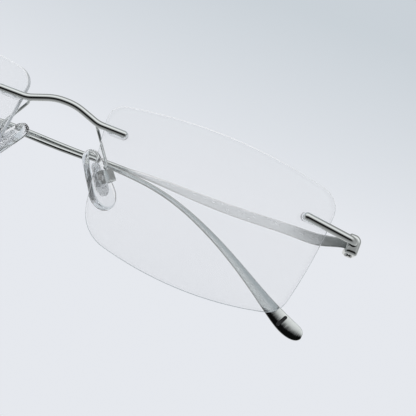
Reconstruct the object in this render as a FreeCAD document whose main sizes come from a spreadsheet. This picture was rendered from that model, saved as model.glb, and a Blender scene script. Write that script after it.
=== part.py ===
import FreeCAD, Part
import math
import os

import Sketcher

# Rimless three-piece eyeglasses, folded and standing upright.
# +X is the wearer's left, the front faces -Y, +Z is up. All lengths are millimetres.

DIMENSIONS = [
    # lenses
    ("lens_radius", 110.0, "front surface radius"),
    ("lens_thickness", 2.0, "centre thickness"),
    ("lens_x", 36.5, "box centre of each lens from the mid-plane"),
    ("lens_y", -7.55, "depth of the lens box centre"),
    ("lens_z", 18.96, "height of the lens box centre"),
    ("lens_sag", 1.5, "front surface stands this far before the box plane"),
    ("lens_wrap", 5.0, "degrees the temporal side turns back"),
    ("lens_tilt", 8.0, "degrees the top leans forward"),
    ("edge_chamfer", 0.18, "safety chamfer round each lens"),
    # bridge and its mounts
    ("bridge_radius", 0.8, "bridge rod"),
    ("crown_forward", 0.5, "crown stands this far before the feet of the arch"),
    ("bridge_bend", 6.0, "bend where the arch leaves the lens"),
    ("crown_bend", 11.8, "bend of the arch's crown"),
    ("bridge_root_x", 8.4, "where the arch leaves the straight end"),
    ("bridge_crown_x", 2.35, "half width of the crown"),
    ("bridge_crown_z", 30.13, "height of the crown polygon"),
    ("rod_gap", 0.05, "pins and sleeves stand this far off the lens"),
    ("rod_lift", 0.08, "rods stand this far off the lens"),
    ("nose_mount_v", 8.9, "height of the bridge mounts over the lens centre"),
    ("side_mount_v", 7.1, "height of the end piece mounts over the lens centre"),
    ("nose_tip_u", -21.9, "free end of the bridge rod on the lens"),
    ("nose_root_u", -27.0, "bridge rod at the lens edge"),
    ("nose_pin_u", -24.0, "middle of the nasal pin pair"),
    ("side_tip_u", 21.85, "free end of the end piece on the lens"),
    ("side_root_u", 27.4, "end piece rod at the lens edge"),
    ("side_drop", 0.55, "end piece rod is this much lower at the lens edge"),
    ("side_pin_u", 23.7, "middle of the temporal pin pair"),
    ("pin_pitch", 2.8, "between the two pins of a mount"),
    ("pin_radius", 0.42, "pin"),
    ("sleeve_bore", 0.44, "bore of the clear sleeve"),
    ("sleeve_radius", 0.72, "clear sleeve"),
    ("hole_radius", 0.74, "hole in the lens"),
    ("sleeve_plate", 0.5, "plate that joins the two sleeves"),
    ("sleeve_plate_radius", 1.05, "half width of that plate"),
    # end pieces and hinges
    ("end_radius", 0.97, "end piece rod"),
    ("end_bend", 2.2, "bend of the end piece"),
    ("end_corner_x", 70.3, "end piece corner"),
    ("hinge_x", 70.7, "hinge axis from the mid-plane"),
    ("hinge_y", 2.15, "hinge axis depth"),
    ("hinge_z", 24.76, "middle of the hinge"),
    ("barrel_radius", 1.35, "temple barrel"),
    ("barrel_height", 2.3, "temple barrel"),
    ("lug_radius", 1.5, "lugs of the end piece"),
    ("lug_height", 0.95, "each lug"),
    ("washer_thickness", 0.15, "washer between lug and barrel"),
    ("washer_gap", 0.03, "clearance on each face of a washer"),
    ("barrel_chamfer", 0.12, "edges of the barrel"),
    ("web_gap", 0.4, "web stands clear of the barrel"),
    ("web_depth", 2.3, "block between rod and lugs"),
    ("foot_depth", 1.0, "rod ends this far before the web's back"),
    ("front_rounding", 0.9, "front edges of the block"),
    ("shoulder_round", 1.7, "upper outer corner of the block"),
    ("corner_round", 0.45, "other corners of the block"),
    ("screw_grip", 0.01, "threads leave this gap round the screw"),
    ("axis_lean", 0.8, "degrees each hinge axis leans so the temples pass"),
    ("screw_radius", 0.5, "hinge screw shank"),
    ("screw_clearance", 0.05, "running clearance of the barrel on the screw"),
    ("screw_head_radius", 0.95, "hinge screw head"),
    ("screw_head_height", 0.35, "hinge screw head"),
    ("slot_width", 0.25, "screwdriver slot"),
    ("slot_depth", 0.2, "screwdriver slot"),
    # temples
    ("hook_start", 95.0, "where the temple bends down"),
    ("temple_pitch", 0.55, "degrees one temple runs above the other"),
    ("left_fold", 3.5, "degrees the left temple stands off the front"),
    ("right_fold", 0.5, "degrees the right temple stands off the front"),
    ("right_tip_lift", 1.0, "the lower tip is bent up by this"),
    ("temple_reach", 138.0, "from the hinge to the tip, straight"),
    ("paddle_crown", 0.13, "bulge of the paddle's broad faces, as a share of its extra height"),
    ("least_crown", 0.005, "bulge of the round wire's sides"),
    ("inlay_gap", 0.01, "gap round the inlay"),
    ("slot_station", 132.5, "inlay from the hinge"),
    ("inlay_width", 0.8, "inlay across the paddle"),
    ("inlay_length", 3.1, "inlay across the paddle"),
    ("inlay_height", 1.5, "inlay through the paddle"),
    # nose pads
    ("pad_x", 11.9, "pad centre"),
    ("pad_y", -1.45, "pad centre"),
    ("pad_z", 17.66, "pad centre"),
    ("pad_lean", 39.0, "degrees the pad leans in at the top"),
    ("pad_splay", 42.0, "degrees the pad opens backwards"),
    ("pad_length", 14.4, "silicone pad"),
    ("pad_width", 8.4, "silicone pad"),
    ("pad_thickness", 1.9, "silicone pad"),
    ("pad_rounding", 0.8, "edges of the silicone pad"),
    ("pad_taper", 0.36, "radius of a pad's narrow top, as a share of its width"),
    ("core_length", 8.0, "rigid core"),
    ("core_width", 4.2, "rigid core"),
    ("core_thickness", 0.7, "rigid core"),
    ("tab_width", 1.5, "tab of the core inside the box"),
    ("tab_length", 1.8, "tab of the core along the pad"),
    ("screw_offset", 2.45, "pad screw from the pad's middle"),
    ("box_width", 3.4, "pad box along the screw"),
    ("box_length", 3.0, "pad box along the pad"),
    ("box_depth", 2.6, "pad box away from the pad"),
    ("box_round", 0.85, "outer edges of the box"),
    ("box_shift", 0.3, "box centre beyond the screw"),
    ("channel_width", 2.1, "slot of the pad box"),
    ("channel_depth", 2.1, "slot of the pad box"),
    ("pad_screw_radius", 0.4, "pad screw shank"),
    ("pad_screw_run", 0.04, "running clearance of the core's tab on the screw"),
    ("pad_screw_end", 0.15, "screw stands this far out of the box"),
    ("pad_screw_head", 0.8, "pad screw head radius"),
    ("arm_radius", 0.33, "pad arm wire"),
    ("arm_start_in", 0.4, "pad arm from the foot of the arch"),
    ("arm_start_down", 0.2, "pad arm from the foot of the arch"),
    ("arm_bend", 1.0, "bends of the pad arm"),
    ("arm_weld", 0.1, "the arm's wire centre stands this far behind the rod's surface"),
    ("arm_bead", 0.48, "bead where the arm joins the box"),
]

# Lens outline as four arcs, each by its middle point, between sharp corners that are then rounded.
LENS_CORNERS = [(-27.4, 14.2), (28.0, 13.5), (24.4, -15.3), (-23.2, -14.1)]
LENS_MIDDLES = [(0.0, 17.05), (27.4, 2.0), (1.0, -18.14), (-25.8, 1.8)]
LENS_ROUNDING = [3.9, 5.0, 5.4, 9.0]

MOUNTS = ("nose", "side")
SIDES = (("left", 1), ("right", -1))

# Inner points of the pad arm, from the foot of the arch and from the top of the pad box.
ARM_FROM_ARCH = (0.3, 1.5, -0.5)
ARM_FROM_BOX = (-0.45, -0.6, 1.4)

# Corner rounding of a temple section, as a share of its half thickness. It falls as the section gets flatter.
LEAST_ROUND = 0.55
MOST_ROUND = 0.96
ROUND_START = 1.56
ROUND_FALL = 0.6

# Temple sections: distance from the hinge, height of the centre line over the hinge, section height, thickness.
STRIP_SECTIONS = [
    (0.9, 0.0, 2.0, 0.95),
    (2.5, -0.15, 2.15, 0.95),
    (6.5, -1.15, 2.6, 0.95),
    (12.0, -1.6, 2.6, 0.95),
    (24.0, -2.1, 2.4, 0.95),
    (38.0, -2.3, 2.0, 1.0),
    (54.0, -2.35, 1.15, 1.15),
]
WIRE_SECTIONS = [
    (54.0, -2.35, 1.15, 1.15),
    (66.0, -2.35, 1.1, 1.1),
    (76.0, -2.2, 1.1, 1.1),
    (86.0, -2.1, 1.1, 1.1),
    (92.5, -2.55, 1.15, 1.15),
    (98.5, -3.7, 1.2, 1.15),
    (105.5, -6.1, 1.35, 1.15),
    (112.0, -9.1, 1.6, 1.2),
    (118.5, -12.7, 1.95, 1.25),
    (124.2, -16.2, 2.5, 1.3),
    (129.0, -19.2, 3.3, 1.35),
    (132.8, -21.35, 3.95, 1.4),
    (135.7, -22.5, 3.8, 1.3),
    (137.4, -22.85, 2.7, 1.0),
    (138.0, -22.9, 1.2, 0.6),
]

doc = FreeCAD.newDocument("eyeglasses")
sheet = doc.addObject("Spreadsheet::Sheet", "dimensions")
for row, (alias, value, meaning) in enumerate(DIMENSIONS, start=1):
    sheet.set(f"A{row}", alias)
    sheet.set(f"B{row}", str(value))
    sheet.set(f"C{row}", meaning)
    sheet.setAlias(f"B{row}", alias)
doc.recompute()

V = FreeCAD.Vector
parts = []


def size(alias):
    """The value of one named cell of the sheet."""
    return float(getattr(sheet, alias))


def frame(origin, x_axis, z_axis):
    """Placement whose local X and Z run along the two given directions."""
    z = V(z_axis).normalize()
    x = V(x_axis)
    x = (x - z * x.dot(z)).normalize()
    y = z.cross(x)
    matrix = FreeCAD.Matrix(
        x.x, y.x, z.x, origin.x,
        x.y, y.y, z.y, origin.y,
        x.z, y.z, z.z, origin.z,
        0, 0, 0, 1,
    )
    return FreeCAD.Placement(matrix)


def keep_shape(label, shape, placement=None):
    """Add a finished solid, or a group of solids, as a feature of the document."""
    feature = doc.addObject("Part::Feature", label)
    feature.Label = label
    feature.Shape = shape
    if placement:
        feature.Placement = placement
    parts.append(feature)
    return feature


def new_body(label, placement):
    """A PartDesign body of its own, placed in the row's frame."""
    body = doc.addObject("PartDesign::Body", label)
    body.Label = label
    body.Placement = placement
    parts.append(body)
    return body


def new_sketch(body, name, role="XY_Plane", height=None):
    """A sketch on one of the body's own origin planes, lifted by an expression where one is given."""
    plane = next(item for item in body.Origin.OriginFeatures if item.Role == role)
    sketch = body.newObject("Sketcher::SketchObject", f"{body.Name}_{name}")
    sketch.AttachmentSupport = [(plane, "")]
    sketch.MapMode = "FlatFace"
    if height:
        sketch.setExpression("AttachmentOffset.Base.z", height)
    return sketch


def add_circle(sketch, radius, offset=None):
    """A circle on the sketch's X axis, its radius and offset bound to the sheet."""
    start = V(0.1, 0, 0) if offset else V(0, 0, 0)
    index = sketch.addGeometry(Part.Circle(start, V(0, 0, 1), 1.0), False)
    if offset:
        sketch.addConstraint(Sketcher.Constraint("PointOnObject", index, 3, -1))
        place = sketch.addConstraint(Sketcher.Constraint("DistanceX", -1, 1, index, 3, 0.1))
        sketch.setExpression(f"Constraints[{place}]", offset)
    else:
        sketch.addConstraint(Sketcher.Constraint("Coincident", index, 3, -1, 1))
    round_ = sketch.addConstraint(Sketcher.Constraint("Radius", index, 1.0))
    sketch.setExpression(f"Constraints[{round_}]", radius)
    return index


def add_rectangle(sketch, width, height):
    """A rectangle centred on the sketch's origin, its sides bound to the sheet."""
    corners = [V(-1, -1, 0), V(1, -1, 0), V(1, 1, 0), V(-1, 1, 0)]
    first = len(sketch.Geometry)
    for number in range(4):
        sketch.addGeometry(Part.LineSegment(corners[number], corners[(number + 1) % 4]), False)
    for number in range(4):
        sketch.addConstraint(
            Sketcher.Constraint("Coincident", first + number, 2, first + (number + 1) % 4, 1)
        )
    for number in (0, 2):
        sketch.addConstraint(Sketcher.Constraint("Horizontal", first + number))
    for number in (1, 3):
        sketch.addConstraint(Sketcher.Constraint("Vertical", first + number))
    sketch.addConstraint(Sketcher.Constraint("Symmetric", first, 1, first + 1, 2, -1, 1))
    wide = sketch.addConstraint(Sketcher.Constraint("DistanceX", first, 1, first, 2, 2.0))
    tall = sketch.addConstraint(Sketcher.Constraint("DistanceY", first + 1, 1, first + 1, 2, 2.0))
    sketch.setExpression(f"Constraints[{wide}]", width)
    sketch.setExpression(f"Constraints[{tall}]", height)


def pad(body, sketch, name, length, both_ways=False):
    """Extrude a sketch by an expression."""
    feature = body.newObject("PartDesign::Pad", f"{body.Name}_{name}")
    feature.Profile = sketch
    feature.setExpression("Length", length)
    feature.Midplane = both_ways
    sketch.Visibility = False
    return feature


def pocket(body, sketch, name, length, both_ways=False, reverse=False):
    """Cut a pocket, and stop if it removed nothing."""
    doc.recompute()
    before = body.Shape.Volume
    feature = body.newObject("PartDesign::Pocket", f"{body.Name}_{name}")
    feature.Profile = sketch
    feature.setExpression("Length", length)
    feature.Midplane = both_ways
    feature.Reversed = reverse
    doc.recompute()
    if body.Shape.Volume > before - 1e-6:
        raise RuntimeError(f"{feature.Name} removed nothing")
    return feature


def mirrored(shape, side):
    """The shape itself on the wearer's left, its mirror image on the right."""
    return shape if side > 0 else shape.mirror(V(0, 0, 0), V(1, 0, 0))


def rounded_rod(points, bends, radius, round_start=True, round_end=True):
    """A round rod along a polyline whose inner corners are tangent arcs."""
    edges = []
    start = points[0]
    for before, corner, after, bend in zip(points, points[1:], points[2:], bends):
        back = (before - corner).normalize()
        on = (after - corner).normalize()
        half = back.getAngle(on) / 2
        reach = bend / math.tan(half)
        first = corner + back * reach
        last = corner + on * reach
        middle = corner + (back + on).normalize() * (bend / math.sin(half) - bend)
        edges.append(Part.LineSegment(start, first).toShape())
        edges.append(Part.Arc(first, middle, last).toShape())
        start = last
    edges.append(Part.LineSegment(start, points[-1]).toShape())
    path = Part.Wire(edges)
    profile = Part.Wire([Part.makeCircle(radius, points[0], points[1] - points[0])])
    rod = path.makePipeShell([profile], True, False)
    for wanted, place in ((round_start, points[0]), (round_end, points[-1])):
        if wanted:
            rod = rod.fuse(Part.makeSphere(radius, place))
    return rod.removeSplitter()


# --- lenses ------------------------------------------------------------------------------------

WRAP = math.radians(size("lens_wrap"))
TILT = math.radians(size("lens_tilt"))
ACROSS = V(math.cos(WRAP), math.sin(WRAP), 0)
OUTWARD = V(math.sin(WRAP) * math.cos(TILT), -math.cos(WRAP) * math.cos(TILT), -math.sin(TILT))
UPWARD = OUTWARD.cross(ACROSS)
LENS_MIDDLE = V(size("lens_x"), size("lens_y"), size("lens_z"))
SPHERE_CENTRE = LENS_MIDDLE + OUTWARD * (size("lens_sag") - size("lens_radius"))


def on_lens(u, v, lift=0.0):
    """Point of the left lens's front surface, or one lifted off it, and the normal there."""
    depth = math.sqrt(size("lens_radius") ** 2 - u * u - v * v)
    normal = (ACROSS * u + UPWARD * v + OUTWARD * depth) * (1 / size("lens_radius"))
    return SPHERE_CENTRE + normal * (size("lens_radius") + lift), normal


def mount_frame(mount):
    """Placement on the lens front: X along the mount's pair of pins, Z out of the lens."""
    point, normal = on_lens(size(f"{mount}_pin_u"), size(f"{mount}_mount_v"))
    return frame(point, ACROSS, normal)


def pin_offsets():
    """Places of a mount's two pins along its X axis."""
    return (-size("pin_pitch") / 2, size("pin_pitch") / 2)


def lens_shape():
    """A curved disc between two spheres, with its outline, safety chamfers and four holes."""
    reach = size("lens_radius") / 9
    plane_points = [LENS_MIDDLE + ACROSS * u + UPWARD * v for u, v in LENS_CORNERS]
    middles = [LENS_MIDDLE + ACROSS * u + UPWARD * v for u, v in LENS_MIDDLES]
    arcs = []
    ends = plane_points[1:] + plane_points[:1]
    for start, middle, end in zip(plane_points, middles, ends):
        arcs.append(Part.Arc(start, middle, end).toShape())
    blank = Part.Face(Part.Wire(arcs))
    blank.translate(OUTWARD * -reach)
    blank = blank.extrude(OUTWARD * (2 * reach))
    for corner, radius in zip(plane_points, LENS_ROUNDING):
        upright = [
            edge for edge in blank.Edges
            if len(edge.Vertexes) == 2
            and (edge.CenterOfMass - corner).Length < size("lens_thickness") / 4
            and edge.Length > reach
        ]
        blank = blank.makeFillet(radius, upright)
    front = Part.makeSphere(size("lens_radius"), SPHERE_CENTRE)
    back = Part.makeSphere(size("lens_radius") - size("lens_thickness"), SPHERE_CENTRE)
    lens = blank.common(front).cut(back)
    lens = min(lens.Solids, key=lambda solid: solid.CenterOfMass.y)
    rims = []
    for face in lens.Faces:
        if face.Surface.TypeId == "Part::GeomSphere":
            rims.extend(face.OuterWire.Edges)
    lens = lens.makeChamfer(size("edge_chamfer"), rims)
    for mount in MOUNTS:
        place = mount_frame(mount)
        for offset in pin_offsets():
            hole = Part.makeCylinder(size("hole_radius"), 3 * size("lens_thickness"))
            hole.translate(V(offset, 0, -2 * size("lens_thickness")))
            hole.Placement = place.multiply(hole.Placement)
            lens = lens.cut(hole)
    return lens.Solids[0]


# --- mounts: pins and clear sleeves ---------------------------------------------------------------

def mirror_point(point, side):
    """The point itself on the wearer's left, its mirror image on the right."""
    return V(side * point.x, point.y, point.z)


def side_frame(place, side):
    """The frame of a piece on either side: X and Z mirrored, Y completes it."""
    if side > 0:
        return place
    x = mirror_point(place.Rotation.multVec(V(1, 0, 0)), side)
    z = mirror_point(place.Rotation.multVec(V(0, 0, 1)), side)
    return frame(mirror_point(place.Base, side), x, z)


def make_pins(label, mount, side):
    """Two straight pins from the rod's underside, through the lens, to the end of the sleeves."""
    top = size("rod_gap")
    bottom = -size("lens_thickness") - size("sleeve_plate") - size("rod_gap")
    pins = []
    for offset in pin_offsets():
        pin = Part.makeCylinder(size("pin_radius"), top - bottom, V(offset, 0, bottom))
        pins.append(pin)
    return keep_shape(label, Part.makeCompound(pins), side_frame(mount_frame(mount), side))


def make_sleeves(label, mount, side):
    """A clear plate behind the lens with two tubes that reach to the lens's front."""
    body = new_body(label, side_frame(mount_frame(mount), side))
    back = "-dimensions.lens_thickness - dimensions.rod_gap"
    plate = new_sketch(body, "plate", height=f"{back} - dimensions.sleeve_plate")
    half = "dimensions.pin_pitch / 2"
    add_slot(plate, "dimensions.sleeve_plate_radius", half)
    pad(body, plate, "plate_pad", "dimensions.sleeve_plate")
    tubes = new_sketch(body, "tubes", height=back)
    for sign in ("", "-"):
        add_circle(tubes, "dimensions.sleeve_radius", f"{sign}{half}")
    pad(body, tubes, "tube_pad", "dimensions.lens_thickness + dimensions.rod_gap / 2")
    bores = new_sketch(body, "bores")
    for sign in ("", "-"):
        add_circle(bores, "dimensions.sleeve_bore", f"{sign}{half}")
    pocket(body, bores, "bore_cut", "4 * dimensions.lens_thickness", both_ways=True)
    return body


def add_slot(sketch, radius, half_length):
    """A stadium outline along the sketch's X axis, bound to the sheet."""
    quarter = math.pi / 2
    right = sketch.addGeometry(
        Part.ArcOfCircle(Part.Circle(V(1, 0, 0), V(0, 0, 1), 0.5), -quarter, quarter), False
    )
    left = sketch.addGeometry(
        Part.ArcOfCircle(Part.Circle(V(-1, 0, 0), V(0, 0, 1), 0.5), quarter, 3 * quarter), False
    )
    top = sketch.addGeometry(Part.LineSegment(V(1, 0.5, 0), V(-1, 0.5, 0)), False)
    low = sketch.addGeometry(Part.LineSegment(V(-1, -0.5, 0), V(1, -0.5, 0)), False)
    for one, its_end, other, other_end in (
        (right, 2, top, 1), (top, 2, left, 1), (left, 2, low, 1), (low, 2, right, 1),
    ):
        sketch.addConstraint(Sketcher.Constraint("Tangent", one, its_end, other, other_end))
    for arc in (right, left):
        sketch.addConstraint(Sketcher.Constraint("PointOnObject", arc, 3, -1))
    sketch.addConstraint(Sketcher.Constraint("Equal", right, left))
    round_ = sketch.addConstraint(Sketcher.Constraint("Radius", right, 0.5))
    out = sketch.addConstraint(Sketcher.Constraint("DistanceX", -1, 1, right, 3, 1.0))
    span = sketch.addConstraint(Sketcher.Constraint("DistanceX", left, 3, right, 3, 2.0))
    sketch.setExpression(f"Constraints[{round_}]", radius)
    sketch.setExpression(f"Constraints[{out}]", half_length)
    sketch.setExpression(f"Constraints[{span}]", f"2 * ({half_length})")


# --- bridge -----------------------------------------------------------------------------------------

def bridge_line():
    """The bridge's left half: its free end, the foot of the arch and the crown's corner."""
    lift = size("bridge_radius") + size("rod_lift")
    tip, _ = on_lens(size("nose_tip_u"), size("nose_mount_v"), lift)
    edge, _ = on_lens(size("nose_root_u"), size("nose_mount_v"), lift)
    along = (edge - tip).normalize()
    root = edge + along * ((edge.x - size("bridge_root_x")) / -along.x)
    crown = V(size("bridge_crown_x"), root.y - size("crown_forward"), size("bridge_crown_z"))
    return [tip, root, crown]


def bridge_shape():
    """The rod that lies over the front of both lenses and arches between them."""
    half = bridge_line()
    points = half + [mirror_point(point, -1) for point in reversed(half)]
    bends = [size("bridge_bend"), size("crown_bend"), size("crown_bend"), size("bridge_bend")]
    return rounded_rod(points, bends, size("bridge_radius"))


# --- nose pads ---------------------------------------------------------------------------------------

LEAN = math.radians(size("pad_lean"))
SPLAY = math.radians(size("pad_splay"))
PAD_CENTRE = V(size("pad_x"), size("pad_y"), size("pad_z"))


def pad_frame():
    """Local Z runs up the pad, X is its thickness towards the lens, Y its width towards the front."""
    up = V(-math.sin(LEAN), -math.sin(TILT) * math.cos(LEAN), math.cos(LEAN))
    backward = V(math.sin(SPLAY), math.cos(SPLAY), 0)
    outward = backward.cross(up)
    if outward.x < 0:
        outward = outward * -1
    return frame(PAD_CENTRE, outward, up)


def pad_outline(length, width, thickness):
    """A teardrop plate: a wide round bottom and a narrower round top, in the local YZ plane."""
    low_radius = width / 2
    high_radius = width * size("pad_taper")
    low = V(-thickness / 2, 0, -length / 2 + low_radius)
    high = V(-thickness / 2, 0, length / 2 - high_radius)
    span = high.z - low.z
    slope = math.asin((low_radius - high_radius) / span)
    out = V(0, math.cos(slope), math.sin(slope))
    back = V(0, -out.y, out.z)
    points = [
        low + out * low_radius,
        high + out * high_radius,
        high + back * high_radius,
        low + back * low_radius,
    ]
    edges = [
        Part.LineSegment(points[0], points[1]).toShape(),
        Part.Arc(points[1], high + V(0, 0, high_radius), points[2]).toShape(),
        Part.LineSegment(points[2], points[3]).toShape(),
        Part.Arc(points[3], low - V(0, 0, low_radius), points[0]).toShape(),
    ]
    return Part.Face(Part.Wire(edges)).extrude(V(thickness, 0, 0))


def core_shape():
    """The rigid plate inside the pad, with the tab that the screw holds."""
    plate = pad_outline(size("core_length"), size("core_width"), size("core_thickness"))
    reach = size("screw_offset")
    width = size("tab_width")
    length = size("tab_length")
    tab = Part.makeBox(reach, width, length, V(0, -width / 2, -length / 2))
    nose = Part.makeCylinder(length / 2, width, V(reach, -width / 2, 0), V(0, 1, 0))
    hole_radius = size("pad_screw_radius") + size("pad_screw_run")
    hole = Part.makeCylinder(hole_radius, 2 * width, V(reach, -width, 0), V(0, 1, 0))
    return plate.fuse([tab, nose]).removeSplitter().cut(hole)


def silicone_shape(core):
    """The soft pad round its rigid core."""
    thickness = size("pad_thickness")
    body = pad_outline(size("pad_length"), size("pad_width"), thickness)
    rims = [edge for edge in body.Edges if edge.BoundBox.XLength < thickness / 2]
    body = body.makeFillet(size("pad_rounding"), rims)
    return body.cut(core)


def screw_place():
    """The pad frame moved to the pad screw."""
    return pad_frame().multiply(FreeCAD.Placement(V(size("screw_offset"), 0, 0), FreeCAD.Rotation()))


def make_pad_box(label, side):
    """A small channel that opens towards the pad, with the screw through its two walls."""
    body = new_body(label, side_frame(screw_place(), side))
    outer = new_sketch(body, "outer")
    add_rectangle(outer, "dimensions.box_depth", "dimensions.box_width")
    outer.setExpression("AttachmentOffset.Base.x", "dimensions.box_shift")
    pad(body, outer, "outer_pad", "dimensions.box_length", both_ways=True)
    doc.recompute()
    block = body.Tip
    rounding = body.newObject("PartDesign::Fillet", f"{body.Name}_rounding")
    far = size("box_depth") / 2
    rims = [
        f"Edge{number}" for number, edge in enumerate(block.Shape.Edges, start=1)
        if edge.CenterOfMass.x > far
    ]
    rounding.Base = (block, rims)
    rounding.setExpression("Radius", "dimensions.box_round")
    channel = new_sketch(body, "channel")
    add_rectangle(channel, "dimensions.channel_depth", "dimensions.channel_width")
    channel.setExpression(
        "AttachmentOffset.Base.x",
        "dimensions.box_shift - dimensions.box_depth / 2 + dimensions.channel_depth / 2",
    )
    pocket(body, channel, "channel_cut", "2 * dimensions.box_length", both_ways=True)
    hole = new_sketch(body, "hole", role="XZ_Plane")
    add_circle(hole, "dimensions.pad_screw_radius + dimensions.screw_grip")
    pocket(body, hole, "hole_cut", "2 * dimensions.box_width", both_ways=True)
    return body


def make_screw(label, place, shank, shank_radius, head_radius, head_height):
    """A slotted screw: local Z runs from the end of the shank to the head, the head starts at the origin."""
    body = new_body(label, place)
    round_shank = new_sketch(body, "shank", height=f"-({shank})")
    add_circle(round_shank, shank_radius)
    pad(body, round_shank, "shank_pad", shank)
    head = new_sketch(body, "head")
    add_circle(head, head_radius)
    pad(body, head, "head_pad", head_height)
    doc.recompute()
    top = body.Tip
    dome = body.newObject("PartDesign::Fillet", f"{body.Name}_dome")
    rims = [
        f"Edge{number}" for number, edge in enumerate(top.Shape.Edges, start=1)
        if edge.CenterOfMass.z > size("slot_depth") and edge.Curve.TypeId == "Part::GeomCircle"
    ]
    dome.Base = (top, rims)
    dome.setExpression("Radius", f"0.6 * {head_height}")
    slot = new_sketch(body, "slot", height=head_height)
    add_rectangle(slot, "dimensions.slot_width", f"2.5 * {head_radius}")
    pocket(body, slot, "slot_cut", "dimensions.slot_depth")
    return body


def make_pad_screw(label, side):
    """The screw comes in from the front, through the box and the core's tab."""
    half = size("box_width") / 2
    place = screw_place().multiply(
        FreeCAD.Placement(V(0, -half, 0), FreeCAD.Rotation(V(1, 0, 0), 90))
    )
    return make_screw(
        label, side_frame(place, side), "dimensions.box_width + dimensions.pad_screw_end",
        "dimensions.pad_screw_radius", "dimensions.pad_screw_head", "dimensions.screw_head_height",
    )


def arm_shape(bridge_root):
    """The wire from behind the bridge down to the top of the pad box."""
    radius = size("arm_radius")
    place = screw_place()
    top = place.multVec(V(size("box_shift") * 2, 0, size("box_length") / 2))
    up = place.Rotation.multVec(V(0, 0, 1))
    behind = size("bridge_radius") + size("arm_weld")
    start = bridge_root + V(-size("arm_start_in"), behind, -size("arm_start_down"))
    points = [start, start + V(*ARM_FROM_ARCH), top + V(*ARM_FROM_BOX), top + up * radius]
    wire = rounded_rod(points, [size("arm_bend"), size("arm_bend")], radius)
    bead = Part.makeSphere(size("arm_bead"), top + up * size("arm_bead"))
    return wire.fuse(bead).removeSplitter()


# --- end pieces and hinges -----------------------------------------------------------------------------

def hinge_frame(side):
    """Origin on the hinge axis; Z along it. It leans back on the left and forward on the right."""
    lean = math.radians(size("axis_lean")) * side
    axis = V(0, -math.sin(lean), math.cos(lean))
    return frame(V(side * size("hinge_x"), size("hinge_y"), size("hinge_z")), V(1, 0, 0), axis)


def lug_levels():
    """Inner and outer height of the upper lug over the middle of the hinge."""
    inner = size("barrel_height") / 2 + size("washer_thickness") + 2 * size("washer_gap")
    return inner, inner + size("lug_height")


def end_piece_shape(side):
    """The rod over the lens, bent back into a block with two lugs."""
    radius = size("end_radius")
    lift = radius + size("rod_lift")
    tip, _ = on_lens(size("side_tip_u"), size("side_mount_v"), lift)
    edge, _ = on_lens(size("side_root_u"), size("side_mount_v") - size("side_drop"), lift)
    along = (edge - tip).normalize()
    corner = edge + along * ((size("end_corner_x") - edge.x) / along.x)
    inner, outer = lug_levels()
    web_back = size("barrel_radius") + size("web_gap")
    web_front = web_back + size("web_depth")
    foot = V(size("hinge_x"), size("hinge_y") - web_back - size("foot_depth"), size("hinge_z"))
    points = [mirror_point(point, side) for point in (tip, corner, foot)]
    rod = rounded_rod(points, [size("end_bend")], radius, round_end=False)
    half = size("lug_radius")
    block = Part.makeBox(2 * half, web_front, 2 * outer, V(-half, -web_front, -outer))
    block = block.fuse(Part.makeCylinder(half, 2 * outer, V(0, 0, -outer))).removeSplitter()
    block = block.common(shoulder_profile(side, half, outer))
    front_rim = [edge for edge in block.Edges if edge.BoundBox.YMax < -web_front + size("rod_lift")]
    block = block.makeFillet(size("front_rounding"), front_rim)
    opening = Part.makeBox(4 * half, 4 * half, 2 * inner, V(-2 * half, -web_back, -inner))
    block = block.cut(opening)
    bore = Part.makeCylinder(size("screw_radius") + size("screw_grip"), 4 * outer, V(0, 0, -2 * outer))
    block = block.cut(bore)
    block.Placement = hinge_frame(side)
    return rod.fuse(block).removeSplitter()


def shoulder_profile(side, half, outer):
    """A long bar along Y with a large round at its upper outer corner and small ones at the others."""
    reach = 4 * half
    bar = Part.makeBox(2 * half, 2 * reach, 2 * outer, V(-half, -reach, -outer))
    for edge in list(bar.Edges):
        if edge.Length < 2 * reach - size("rod_lift"):
            continue
        place = edge.CenterOfMass
        large = place.z > 0 and place.x * side > 0
        radius = size("shoulder_round") if large else size("corner_round")
        match = [other for other in bar.Edges if (other.CenterOfMass - place).Length < radius]
        bar = bar.makeFillet(radius, match[:1])
    return bar


def make_washers(label, side):
    """Two washers, one on each side of the barrel."""
    rings = []
    for number, sign in enumerate((1, -1)):
        level = f"{sign} * (dimensions.barrel_height / 2 + dimensions.washer_gap)"
        if sign < 0:
            level += " - dimensions.washer_thickness"
        disc = doc.addObject("Part::Cylinder", f"{label}_disc_{number}")
        disc.setExpression("Radius", "dimensions.barrel_radius")
        bore = doc.addObject("Part::Cylinder", f"{label}_bore_{number}")
        bore.setExpression("Radius", "dimensions.screw_radius + dimensions.screw_clearance")
        for cylinder in (disc, bore):
            cylinder.setExpression("Height", "dimensions.washer_thickness")
            cylinder.setExpression("Placement.Base.z", level)
        ring = doc.addObject("Part::Cut", f"{label}_ring_{number}")
        ring.Base = disc
        ring.Tool = bore
        rings.append(ring)
    group = doc.addObject("Part::Compound", label)
    group.Label = label
    group.Links = rings
    group.Placement = hinge_frame(side)
    parts.append(group)
    return group


def make_hinge_screw(label, side):
    """The screw comes in from below, so its head is under the lower lug."""
    _, outer = lug_levels()
    turned = FreeCAD.Placement(V(0, 0, -outer), FreeCAD.Rotation(V(1, 0, 0), 180))
    stack = "dimensions.barrel_height + 2 * dimensions.washer_thickness + 4 * dimensions.washer_gap"
    return make_screw(
        label, hinge_frame(side).multiply(turned), f"{stack} + 2 * dimensions.lug_height",
        "dimensions.screw_radius", "dimensions.screw_head_radius", "dimensions.screw_head_height",
    )


# --- temples ---------------------------------------------------------------------------------------------

def temple_frame(side):
    """Local X runs along the temple as it lies folded, Z along the hinge axis."""
    hinge = hinge_frame(side)
    fold = math.radians(size("left_fold" if side > 0 else "right_fold"))
    along = V(-side * math.cos(fold), math.sin(fold), 0)
    return frame(hinge.Base, along, hinge.Rotation.multVec(V(0, 0, 1)))


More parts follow.
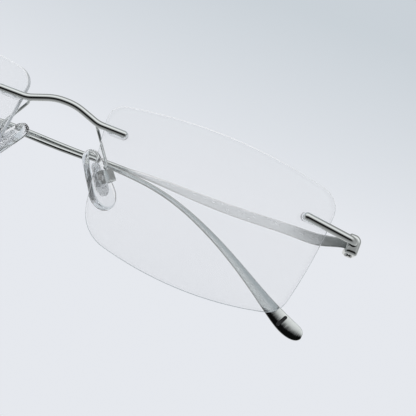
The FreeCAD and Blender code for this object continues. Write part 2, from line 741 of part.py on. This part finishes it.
def centre_height(station, height, side):
    """Height of the centre line: the left temple runs a little up, the right one a little down."""
    slope = math.tan(math.radians(size("temple_pitch"))) * side
    lifted = height + slope * station
    if side < 0:
        hook = size("temple_reach") - size("hook_start")
        lifted += size("right_tip_lift") * max(0.0, station - size("hook_start")) / hook
    return lifted


def section_wire(centre, along, height, thickness, crown):
    """A rounded rectangle across the temple whose two broad faces bulge by the crown."""
    roundness = max(LEAST_ROUND, min(MOST_ROUND, ROUND_START - ROUND_FALL * height / thickness))
    radius = min(height, thickness - 2 * crown) / 2 * roundness
    upward = V(-along.z, 0, along.x)
    sideways = V(0, 1, 0)
    half_h = height / 2
    half_t = thickness / 2 - crown
    diagonal = radius * (1 - math.sqrt(0.5))

    def place(out, up):
        return centre + sideways * out + upward * up

    edges = []
    last = None
    for sign_y, sign_z in ((1, 1), (-1, 1), (-1, -1), (1, -1)):
        on_side = place(sign_y * half_t, sign_z * (half_h - radius))
        on_top = place(sign_y * (half_t - radius), sign_z * half_h)
        middle = place(sign_y * (half_t - diagonal), sign_z * (half_h - diagonal))
        first, end = (on_side, on_top) if sign_y == sign_z else (on_top, on_side)
        if last:
            top = place(sign_y * (half_t + crown), 0)
            edges.append(side_edge(last, first, sign_y == sign_z, top, crown))
        edges.append(Part.Arc(first, middle, end).toShape())
        last = end
    start = edges[0].Vertexes[0].Point
    edges.append(side_edge(last, start, True, place(half_t + crown, 0), crown))
    return Part.Wire(edges)


def side_edge(first, last, broad, top, crown):
    """One side of a temple section: bulged on the broad faces, straight on the narrow ones."""
    if broad and crown:
        return Part.Arc(first, top, last).toShape()
    return Part.LineSegment(first, last).toShape()


def lofted(sections, side, level_end, crowned):
    """A smooth solid through the sections; the one numbered level_end stands upright."""
    centres = [V(station, 0, centre_height(station, height, side)) for station, height, _, _ in sections]
    wires = []
    for number, (_, _, height, thickness) in enumerate(sections):
        before = centres[max(number - 1, 0)]
        after = centres[min(number + 1, len(centres) - 1)]
        along = V(1, 0, 0) if number == level_end else (after - before).normalize()
        crown = 0.0
        if crowned:
            crown = max(size("least_crown"), size("paddle_crown") * (height - thickness))
        wires.append(section_wire(centres[number], along, height, thickness, crown))
    return Part.makeLoft(wires, True, False)


def slot_frame(side):
    """Placement of the inlay: X along the paddle, Z through its thickness."""
    before, after = next(
        pair for pair in zip(WIRE_SECTIONS, WIRE_SECTIONS[1:])
        if pair[0][0] <= size("slot_station") < pair[1][0]
    )
    share = (size("slot_station") - before[0]) / (after[0] - before[0])
    ends = [V(item[0], 0, centre_height(item[0], item[1], side)) for item in (before, after)]
    middle = ends[0] + (ends[1] - ends[0]) * share
    return frame(middle, ends[1] - ends[0], V(0, 1, 0))


def slot_solid(growth):
    """The inlay's outline with its long side across the paddle, through the whole thickness."""
    half = size("inlay_width") / 2 + growth
    reach = size("inlay_length") / 2 - size("inlay_width") / 2
    through = 2 * size("inlay_height")
    bar = Part.makeBox(2 * half, 2 * reach, through, V(-half, -reach, -through / 2))
    ends = [
        Part.makeCylinder(half, through, V(0, sign * reach, -through / 2))
        for sign in (1, -1)
    ]
    return bar.fuse(ends).removeSplitter()


def temple_shape(side):
    """The barrel, the flat strip and the round wire with its paddle, in one piece."""
    barrel_half = size("barrel_height") / 2
    barrel = Part.makeCylinder(size("barrel_radius"), 2 * barrel_half, V(0, 0, -barrel_half))
    rims = [edge for edge in barrel.Edges if edge.BoundBox.ZLength < barrel_half]
    barrel = barrel.makeChamfer(size("barrel_chamfer"), rims)
    strip = lofted(STRIP_SECTIONS, side, level_end=len(STRIP_SECTIONS) - 1, crowned=False)
    wire = lofted(WIRE_SECTIONS, side, level_end=0, crowned=True)
    temple = barrel.fuse([strip, wire]).removeSplitter()
    bore_radius = size("screw_radius") + size("screw_clearance")
    temple = temple.cut(Part.makeCylinder(bore_radius, 4 * barrel_half, V(0, 0, -2 * barrel_half)))
    slot = slot_solid(size("inlay_gap"))
    slot.Placement = slot_frame(side)
    return temple.cut(slot)


def make_inlay(label, side):
    """The dark inlay in the paddle's slot."""
    body = new_body(label, temple_frame(side).multiply(slot_frame(side)))
    outline = new_sketch(body, "outline")
    half_length = "(dimensions.inlay_length - dimensions.inlay_width) / 2"
    add_slot(outline, "dimensions.inlay_width / 2", half_length)
    outline.AttachmentOffset = FreeCAD.Placement(V(0, 0, 0), FreeCAD.Rotation(V(0, 0, 1), 90))
    pad(body, outline, "inlay_pad", "dimensions.inlay_height", both_ways=True)
    return body


# --- the whole object ---------------------------------------------------------------------------------------

def build_front():
    """Everything that stays with the lenses."""
    lens = lens_shape()
    core = core_shape()
    silicone = silicone_shape(core)
    bridge = bridge_shape()
    keep_shape("bridge", bridge)
    arm = arm_shape(bridge_line()[1])
    for name, side in SIDES:
        keep_shape(f"{name}_lens", mirrored(lens, side))
        keep_shape(f"{name}_pad_arm", mirrored(arm, side))
        keep_shape(f"{name}_pad_core", core, side_frame(pad_frame(), side))
        keep_shape(f"{name}_nose_pad", silicone, side_frame(pad_frame(), side))
        keep_shape(f"{name}_end_piece", end_piece_shape(side))
        make_pad_box(f"{name}_pad_box", side)
        make_pad_screw(f"{name}_pad_screw", side)
        make_pins(f"{name}_bridge_pins", "nose", side)
        make_sleeves(f"{name}_bridge_sleeves", "nose", side)
        make_pins(f"{name}_end_pins", "side", side)
        make_sleeves(f"{name}_end_sleeves", "side", side)


def build_temples():
    """The temples and what turns or stays at their hinges."""
    for name, side in SIDES:
        make_washers(f"{name}_hinge_washers", side)
        make_hinge_screw(f"{name}_hinge_screw", side)
        keep_shape(f"{name}_temple", temple_shape(side), temple_frame(side))
        make_inlay(f"{name}_tip_inlay", side)


def check_document():
    """Stop if anything failed to build."""
    doc.recompute()
    failed = [item.Label for item in doc.Objects if {"Invalid", "Error"} & set(item.State)]
    for part in parts:
        if part.Shape.isNull() or not part.Shape.isValid():
            failed.append(part.Label)
    if failed:
        raise RuntimeError("not built: " + ", ".join(failed))


def export_parts():
    """One STEP file for each sub-part."""
    os.makedirs("parts", exist_ok=True)
    for part in parts:
        part.Shape.exportStep(f"parts/{part.Label}.step")


build_front()
build_temples()
check_document()
export_parts()
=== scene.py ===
"""Rimless eyeglasses, folded, over a pale floor in a small light studio."""

import math

import bpy
from mathutils import Matrix, Vector


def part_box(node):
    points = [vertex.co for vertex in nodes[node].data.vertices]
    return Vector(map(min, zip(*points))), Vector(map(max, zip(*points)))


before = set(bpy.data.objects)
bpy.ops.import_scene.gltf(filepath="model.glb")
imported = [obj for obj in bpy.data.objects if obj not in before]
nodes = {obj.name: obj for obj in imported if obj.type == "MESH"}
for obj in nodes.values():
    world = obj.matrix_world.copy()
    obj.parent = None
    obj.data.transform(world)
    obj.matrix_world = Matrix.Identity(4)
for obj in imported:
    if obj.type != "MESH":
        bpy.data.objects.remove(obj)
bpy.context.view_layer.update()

SIDES = ("left", "right")

# Camera: it looks a little up at the folded glasses, and leans to its left.
CAMERA_AZIMUTH = 2.0
CAMERA_ELEVATION = -8.0
CAMERA_ROLL = 21.3
CAMERA_DISTANCE = 0.2326
CAMERA_LENS = 90.6
AIM_FROM_LENS = Vector((0.00054, 0.00048, 0.00165))

# Backdrop and floor. The backdrop changes from its low colour to its high one between two heights of view.
BACKDROP_LOW = (0.790, 0.812, 0.855, 1)
BACKDROP_HIGH = (0.590, 0.640, 0.685, 1)
BACKDROP_CHANGE = (0.58, 0.67)
FLOOR_SIZE = 4.0
FLOOR_COLOUR = (0.70, 0.715, 0.74, 1)

# Temples: where the satin strip starts and where the painted shade by the hinge grows, in metres from the
# mid-plane. The hinge colour is painted shade: a dark grey laid on the strip where it curves into the
# hinge.
STRIP_START = (0.0160, 0.0190)
HINGE_PAINTED_SHADE = (0.054, 0.068)
STRIP_COLOUR = (0.86, 0.87, 0.87, 1)
HINGE_PAINTED_SHADE_COLOUR = (0.30, 0.32, 0.32, 1)
WIRE_COLOUR = (0.55, 0.58, 0.575, 1)
WIRE_ROUGHNESS = (0.05, 0.10)
STRIP_ROUGHER = 0.18
STRIP_LESS_METALLIC = 0.45

# Lenses: clear on their faces, grey and duller on the ground edge, told apart by how far they face front
EDGE_FACING = (0.35, 0.85)
EDGE_COLOUR = (0.42, 0.45, 0.47, 1)
EDGE_ROUGHER = 0.3
FACE_CLEAR = 0.97
EDGE_CLEAR = 0.35


# ---------------------------------------------------------------- node helpers

def new_material(name):
    """An empty node material: (material, tree, principled shader)."""
    material = bpy.data.materials.new(name)
    material.use_nodes = True
    tree = material.node_tree
    shader = tree.nodes["Principled BSDF"]
    return material, tree, shader


def object_point(tree, stretch=(1, 1, 1)):
    """The point's place on its piece, in metres, stretched."""
    place = tree.nodes.new("ShaderNodeTexCoord")
    mapping = tree.nodes.new("ShaderNodeMapping")
    mapping.inputs["Scale"].default_value = stretch
    tree.links.new(place.outputs["Object"], mapping.inputs["Vector"])
    return mapping.outputs["Vector"]


def noise(tree, point, scale, detail=3.0):
    """Noise with features of about 1/scale metres."""
    texture = tree.nodes.new("ShaderNodeTexNoise")
    texture.inputs["Scale"].default_value = scale
    texture.inputs["Detail"].default_value = detail
    tree.links.new(point, texture.inputs["Vector"])
    return texture.outputs["Fac"]


def spread(tree, value, low, high, start=0.3, end=0.7):
    """Value from start..end mapped to low..high."""
    span = tree.nodes.new("ShaderNodeMapRange")
    span.inputs["From Min"].default_value = start
    span.inputs["From Max"].default_value = end
    span.inputs["To Min"].default_value = low
    span.inputs["To Max"].default_value = high
    tree.links.new(value, span.inputs["Value"])
    return span.outputs["Result"]


def bump(tree, shader, height, depth):
    """Surface relief, depth in metres."""
    relief = tree.nodes.new("ShaderNodeBump")
    relief.inputs["Distance"].default_value = depth
    tree.links.new(height, relief.inputs["Height"])
    tree.links.new(relief.outputs["Normal"], shader.inputs["Normal"])


def dress(material, *names):
    """Gives a material to CAD nodes."""
    for name in names:
        for slot in nodes[name].material_slots:
            slot.material = material


def both(*pieces):
    """The left and right node of each named piece."""
    return [f"{side}_{piece}" for side in SIDES for piece in pieces]


# ------------------------------------------------------------------- materials

def metal(name, colour, smooth, rough, grain, depth):
    """Metal with fine wear in its gloss."""
    material, tree, shader = new_material(name)
    shader.inputs["Base Color"].default_value = colour
    shader.inputs["Metallic"].default_value = 1.0
    point = object_point(tree)
    fine = noise(tree, point, grain)
    tree.links.new(spread(tree, fine, smooth, rough), shader.inputs["Roughness"])
    bump(tree, shader, noise(tree, point, grain * 1.7, 2.0), depth)
    return material


def axis_part(tree, kind, axis):
    """One axis of the object's own coordinates or normal."""
    place = tree.nodes.new("ShaderNodeTexCoord")
    split = tree.nodes.new("ShaderNodeSeparateXYZ")
    tree.links.new(place.outputs[kind], split.inputs["Vector"])
    return split.outputs[axis]


def temple_metal(name, side):
    """One temple: a light satin strip beside the hinge, darkening into painted shade at the hinge, and a
    darker polished wire and paddle.
    """
    material, tree, shader = new_material(name)
    out = mathematics(tree, "MULTIPLY", axis_part(tree, "Object", "X"), side)
    strip = spread(tree, out, 0, 1, *STRIP_START)
    # painted shade: the base colour turns dark grey towards the hinge, where the curving strip falls into
    # shade
    hinge = spread(tree, out, 0, 1, *HINGE_PAINTED_SHADE)
    plain = mixed_colour(tree, strip, WIRE_COLOUR, STRIP_COLOUR)
    tree.links.new(mixed_colour(tree, hinge, plain, HINGE_PAINTED_SHADE_COLOUR), shader.inputs["Base Color"])
    less = mathematics(tree, "MULTIPLY", strip, STRIP_LESS_METALLIC)
    tree.links.new(mathematics(tree, "SUBTRACT", 1.0, less), shader.inputs["Metallic"])
    fine = noise(tree, object_point(tree, (0.2, 1, 1)), 2600)
    wear = spread(tree, fine, *WIRE_ROUGHNESS)
    rough = mathematics(tree, "MULTIPLY_ADD", strip, STRIP_ROUGHER, wear)
    tree.links.new(rough, shader.inputs["Roughness"])
    bump(tree, shader, fine, 0.0000005)
    return material


def lens_glass():
    """Coated clear glass with faint smears; its ground edge is duller and greyer."""
    material, tree, shader = new_material("lens_glass")
    flat = mathematics(tree, "ABSOLUTE", axis_part(tree, "Normal", "Y"))
    edge = spread(tree, flat, 1, 0, *EDGE_FACING)
    tree.links.new(mixed_colour(tree, edge, (1, 1, 1, 1), EDGE_COLOUR), shader.inputs["Base Color"])
    shader.inputs["IOR"].default_value = 1.5
    shader.inputs["Specular IOR Level"].default_value = 0.2
    clear = spread(tree, edge, FACE_CLEAR, EDGE_CLEAR, 0, 1)
    tree.links.new(clear, shader.inputs["Transmission Weight"])
    smears = spread(tree, noise(tree, object_point(tree), 60, 4.0), 0.0, 0.004)
    rough = mathematics(tree, "MULTIPLY_ADD", edge, EDGE_ROUGHER, smears)
    tree.links.new(rough, shader.inputs["Roughness"])
    return material


def glass(name, colour, ior, clear, smooth, rough, grain):
    """Clear plastic with faint smears in its gloss."""
    material, tree, shader = new_material(name)
    shader.inputs["Base Color"].default_value = colour
    shader.inputs["IOR"].default_value = ior
    shader.inputs["Transmission Weight"].default_value = clear
    smears = noise(tree, object_point(tree), grain, 4.0)
    tree.links.new(spread(tree, smears, smooth, rough), shader.inputs["Roughness"])
    return material


def make_materials():
    """One material for each substance, on every CAD node."""
    lens = lens_glass()
    sleeve = glass("sleeve_plastic", (0.97, 0.98, 0.99, 1), 1.50, 0.95, 0.02, 0.08, 900)
    core = glass("pad_core_plastic", (0.96, 0.97, 0.98, 1), 1.50, 0.95, 0.03, 0.10, 900)
    silicone = glass("pad_silicone", (0.98, 0.985, 0.99, 1), 1.41, 0.96, 0.02, 0.07, 700)
    polished = metal("polished_titanium", (0.62, 0.65, 0.645, 1), 0.03, 0.08, 1500, 0.0000005)
    box = metal("pad_box_metal", (0.50, 0.53, 0.53, 1), 0.08, 0.18, 2200, 0.000002)
    steel = metal("screw_steel", (0.60, 0.61, 0.61, 1), 0.14, 0.30, 3000, 0.000004)
    # Painted shade: the tip inlay is a near-black fill in the slot on the tip, standing in for the shadow
    # in the recess
    inlay, tree, shader = new_material("tip_inlay_painted_shade")
    shader.inputs["Base Color"].default_value = (0.012, 0.013, 0.015, 1)
    gloss = noise(tree, object_point(tree), 1800)
    tree.links.new(spread(tree, gloss, 0.18, 0.34), shader.inputs["Roughness"])
    dress(lens, *both("lens"))
    dress(sleeve, *both("bridge_sleeves", "end_sleeves"))
    dress(core, *both("pad_core"))
    dress(silicone, *both("nose_pad"))
    dress(polished, "bridge", *both("end_piece", "pad_arm", "bridge_pins", "end_pins"))
    dress(temple_metal("left_temple_titanium", 1.0), "left_temple")
    dress(temple_metal("right_temple_titanium", -1.0), "right_temple")
    dress(box, *both("pad_box"))
    dress(steel, *both("pad_screw", "hinge_screw", "hinge_washers"))
    dress(inlay, *both("tip_inlay"))


# ---------------------------------------------------------------------- studio

def make_floor():
    """A plain pale floor, seen from above and clear from below, because the camera is a little below it."""
    half = FLOOR_SIZE / 2
    mesh = bpy.data.meshes.new("floor")
    corners = [(-half, -half, 0), (half, -half, 0), (half, half, 0), (-half, half, 0)]
    mesh.from_pydata(corners, [], [(0, 1, 2, 3)])
    floor = bpy.data.objects.new("floor", mesh)
    bpy.context.scene.collection.objects.link(floor)
    material = bpy.data.materials.new("floor")
    material.use_nodes = True
    tree = material.node_tree
    tree.nodes.clear()
    out = tree.nodes.new("ShaderNodeOutputMaterial")
    top = tree.nodes.new("ShaderNodeBsdfDiffuse")
    top.inputs["Color"].default_value = FLOOR_COLOUR
    below = tree.nodes.new("ShaderNodeBsdfTransparent")
    side = tree.nodes.new("ShaderNodeNewGeometry")
    mix = tree.nodes.new("ShaderNodeMixShader")
    tree.links.new(side.outputs["Backfacing"], mix.inputs["Fac"])
    tree.links.new(top.outputs["BSDF"], mix.inputs[1])
    tree.links.new(below.outputs["BSDF"], mix.inputs[2])
    tree.links.new(mix.outputs["Shader"], out.inputs["Surface"])
    mesh.materials.append(material)
    floor.visible_glossy = False


def ramp(tree, value, stops):
    """Colours along a value."""
    band = tree.nodes.new("ShaderNodeValToRGB")
    elements = band.color_ramp.elements
    while len(elements) < len(stops):
        elements.new(0.5)
    for element, (place, colour) in zip(elements, stops):
        element.position = place
        element.color = colour
    tree.links.new(value, band.inputs["Fac"])
    return band.outputs["Color"]


def grey(value):
    """A plain grey."""
    return (value, value, value, 1)


# What shines in the metal, by the angle round the X axis.
# 0 is in front, 90 overhead, -90 underfoot and 180 behind.
STUDIO = [
    (-180, 0.80), (-150, 0.75), (-115, 0.50), (-80, 0.40), (-64, 0.25), (-50, 0.06),
    (-38, 0.006), (-10, 0.006), (3, 0.25), (20, 0.85), (45, 1.35), (68, 0.95),
    (98, 0.40), (140, 0.30), (170, 0.70), (180, 0.80),
]
STUDIO_PEAK = 1.35
STUDIO_SIDE = 0.45
STUDIO_SIDE_START = (0.75, 0.97)


def mathematics(tree, operation, *values):
    """A maths node on sockets or numbers."""
    node = tree.nodes.new("ShaderNodeMath")
    node.operation = operation
    for socket, value in zip(node.inputs, values):
        if isinstance(value, (int, float)):
            socket.default_value = value
        else:
            tree.links.new(value, socket)
    return node.outputs["Value"]


def mixed_colour(tree, factor, first, second):
    """first where factor is 0, second where it is 1."""
    mix = tree.nodes.new("ShaderNodeMix")
    mix.data_type = "RGBA"
    sockets = {socket.identifier: socket for socket in mix.inputs}
    pairs = (("Factor_Float", factor), ("A_Color", first), ("B_Color", second))
    for name, value in pairs:
        if isinstance(value, tuple):
            sockets[name].default_value = value
        else:
            tree.links.new(value, sockets[name])
    return next(o for o in mix.outputs if o.identifier == "Result_Color")


def background(tree, colour, strength=1.0):
    """World light of one colour."""
    light = tree.nodes.new("ShaderNodeBackground")
    tree.links.new(colour, light.inputs["Color"])
    light.inputs["Strength"].default_value = strength
    return light.outputs["Background"]


def mixed_shader(tree, factor, first, second):
    """first where factor is 0, second where it is 1."""
    mix = tree.nodes.new("ShaderNodeMixShader")
    tree.links.new(factor, mix.inputs["Fac"])
    tree.links.new(first, mix.inputs[1])
    tree.links.new(second, mix.inputs[2])
    return mix.outputs["Shader"]


def make_world():
    """A pale backdrop to look at, and bright and dark bands that only shine in the metal."""
    world = bpy.data.worlds.new("studio")
    bpy.context.scene.world = world
    world.use_nodes = True
    tree = world.node_tree
    tree.nodes.clear()
    out = tree.nodes.new("ShaderNodeOutputWorld")
    place = tree.nodes.new("ShaderNodeTexCoord")
    split = tree.nodes.new("ShaderNodeSeparateXYZ")
    tree.links.new(place.outputs["Generated"], split.inputs["Vector"])

    height = spread(tree, split.outputs["Z"], 0, 1, -1, 1)
    change, end = BACKDROP_CHANGE
    seen = ramp(tree, height, [(0.0, BACKDROP_LOW), (change, BACKDROP_LOW), (end, BACKDROP_HIGH)])

    front = mathematics(tree, "MULTIPLY", split.outputs["Y"], -1.0)
    angle = mathematics(tree, "ARCTAN2", split.outputs["Z"], front)
    turn = spread(tree, angle, 0, 1, -math.pi, math.pi)
    stops = [((a + 180) / 360, grey(v / STUDIO_PEAK)) for a, v in STUDIO]
    around = ramp(tree, turn, stops)
    sideways = spread(tree, mathematics(tree, "ABSOLUTE", split.outputs["X"]), 0, 1, *STUDIO_SIDE_START)
    room = mixed_colour(tree, sideways, around, grey(STUDIO_SIDE / STUDIO_PEAK))

    soft = ramp(tree, height, [(0.0, grey(0.6)), (0.5, grey(0.8)), (1.0, grey(1.0))])
    ray = tree.nodes.new("ShaderNodeLightPath")
    direct = mathematics(tree, "MAXIMUM", ray.outputs["Is Camera Ray"], ray.outputs["Is Transmission Ray"])
    lit = mixed_shader(
        tree, ray.outputs["Is Glossy Ray"], background(tree, soft), background(tree, room, STUDIO_PEAK)
    )
    shown = mixed_shader(tree, direct, lit, background(tree, seen))
    tree.links.new(shown, out.inputs["Surface"])


def make_softbox(name, place, target, size, power):
    """A soft area light, hidden from direct sight."""
    lamp = bpy.data.lights.new(name, "AREA")
    lamp.shape = "RECTANGLE"
    lamp.size, lamp.size_y = size
    lamp.energy = power
    holder = bpy.data.objects.new(name, lamp)
    holder.location = place
    holder.rotation_euler = (Vector(target) - Vector(place)).to_track_quat("-Z", "Y").to_euler()
    holder.visible_camera = False
    holder.visible_transmission = False
    holder.visible_glossy = False
    bpy.context.scene.collection.objects.link(holder)


def make_lights():
    """A key light on the left and a weaker one behind on the right."""
    make_softbox("key_light", (-0.5, -0.25, 0.9), (0, 0, 0), (0.7, 0.5), 4.0)
    make_softbox("rim_light", (0.9, 0.5, 0.5), (0, 0, 0.02), (0.5, 0.5), 2.0)


def make_camera():
    """The camera looks at the middle of the left lens."""
    low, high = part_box("left_lens")
    aim = (low + high) / 2 + AIM_FROM_LENS
    azimuth, elevation, roll = (math.radians(a) for a in (CAMERA_AZIMUTH, CAMERA_ELEVATION, CAMERA_ROLL))
    forward = Vector((
        -math.sin(azimuth) * math.cos(elevation),
        math.cos(azimuth) * math.cos(elevation),
        -math.sin(elevation),
    ))
    level = forward.cross(Vector((0, 0, 1))).normalized()
    upright = level.cross(forward)
    right = level * math.cos(roll) + upright * math.sin(roll)
    up = upright * math.cos(roll) - level * math.sin(roll)
    camera = bpy.data.cameras.new("camera")
    camera.sensor_width = 36
    camera.lens = CAMERA_LENS
    camera.clip_start = 0.01
    holder = bpy.data.objects.new("camera", camera)
    turn = Matrix((right, up, -forward)).transposed().to_4x4()
    holder.matrix_world = Matrix.Translation(aim - forward * CAMERA_DISTANCE) @ turn
    bpy.context.scene.collection.objects.link(holder)
    bpy.context.scene.camera = holder


make_materials()
make_floor()
make_world()
make_lights()
make_camera()
bpy.context.scene.view_settings.view_transform = "Standard"
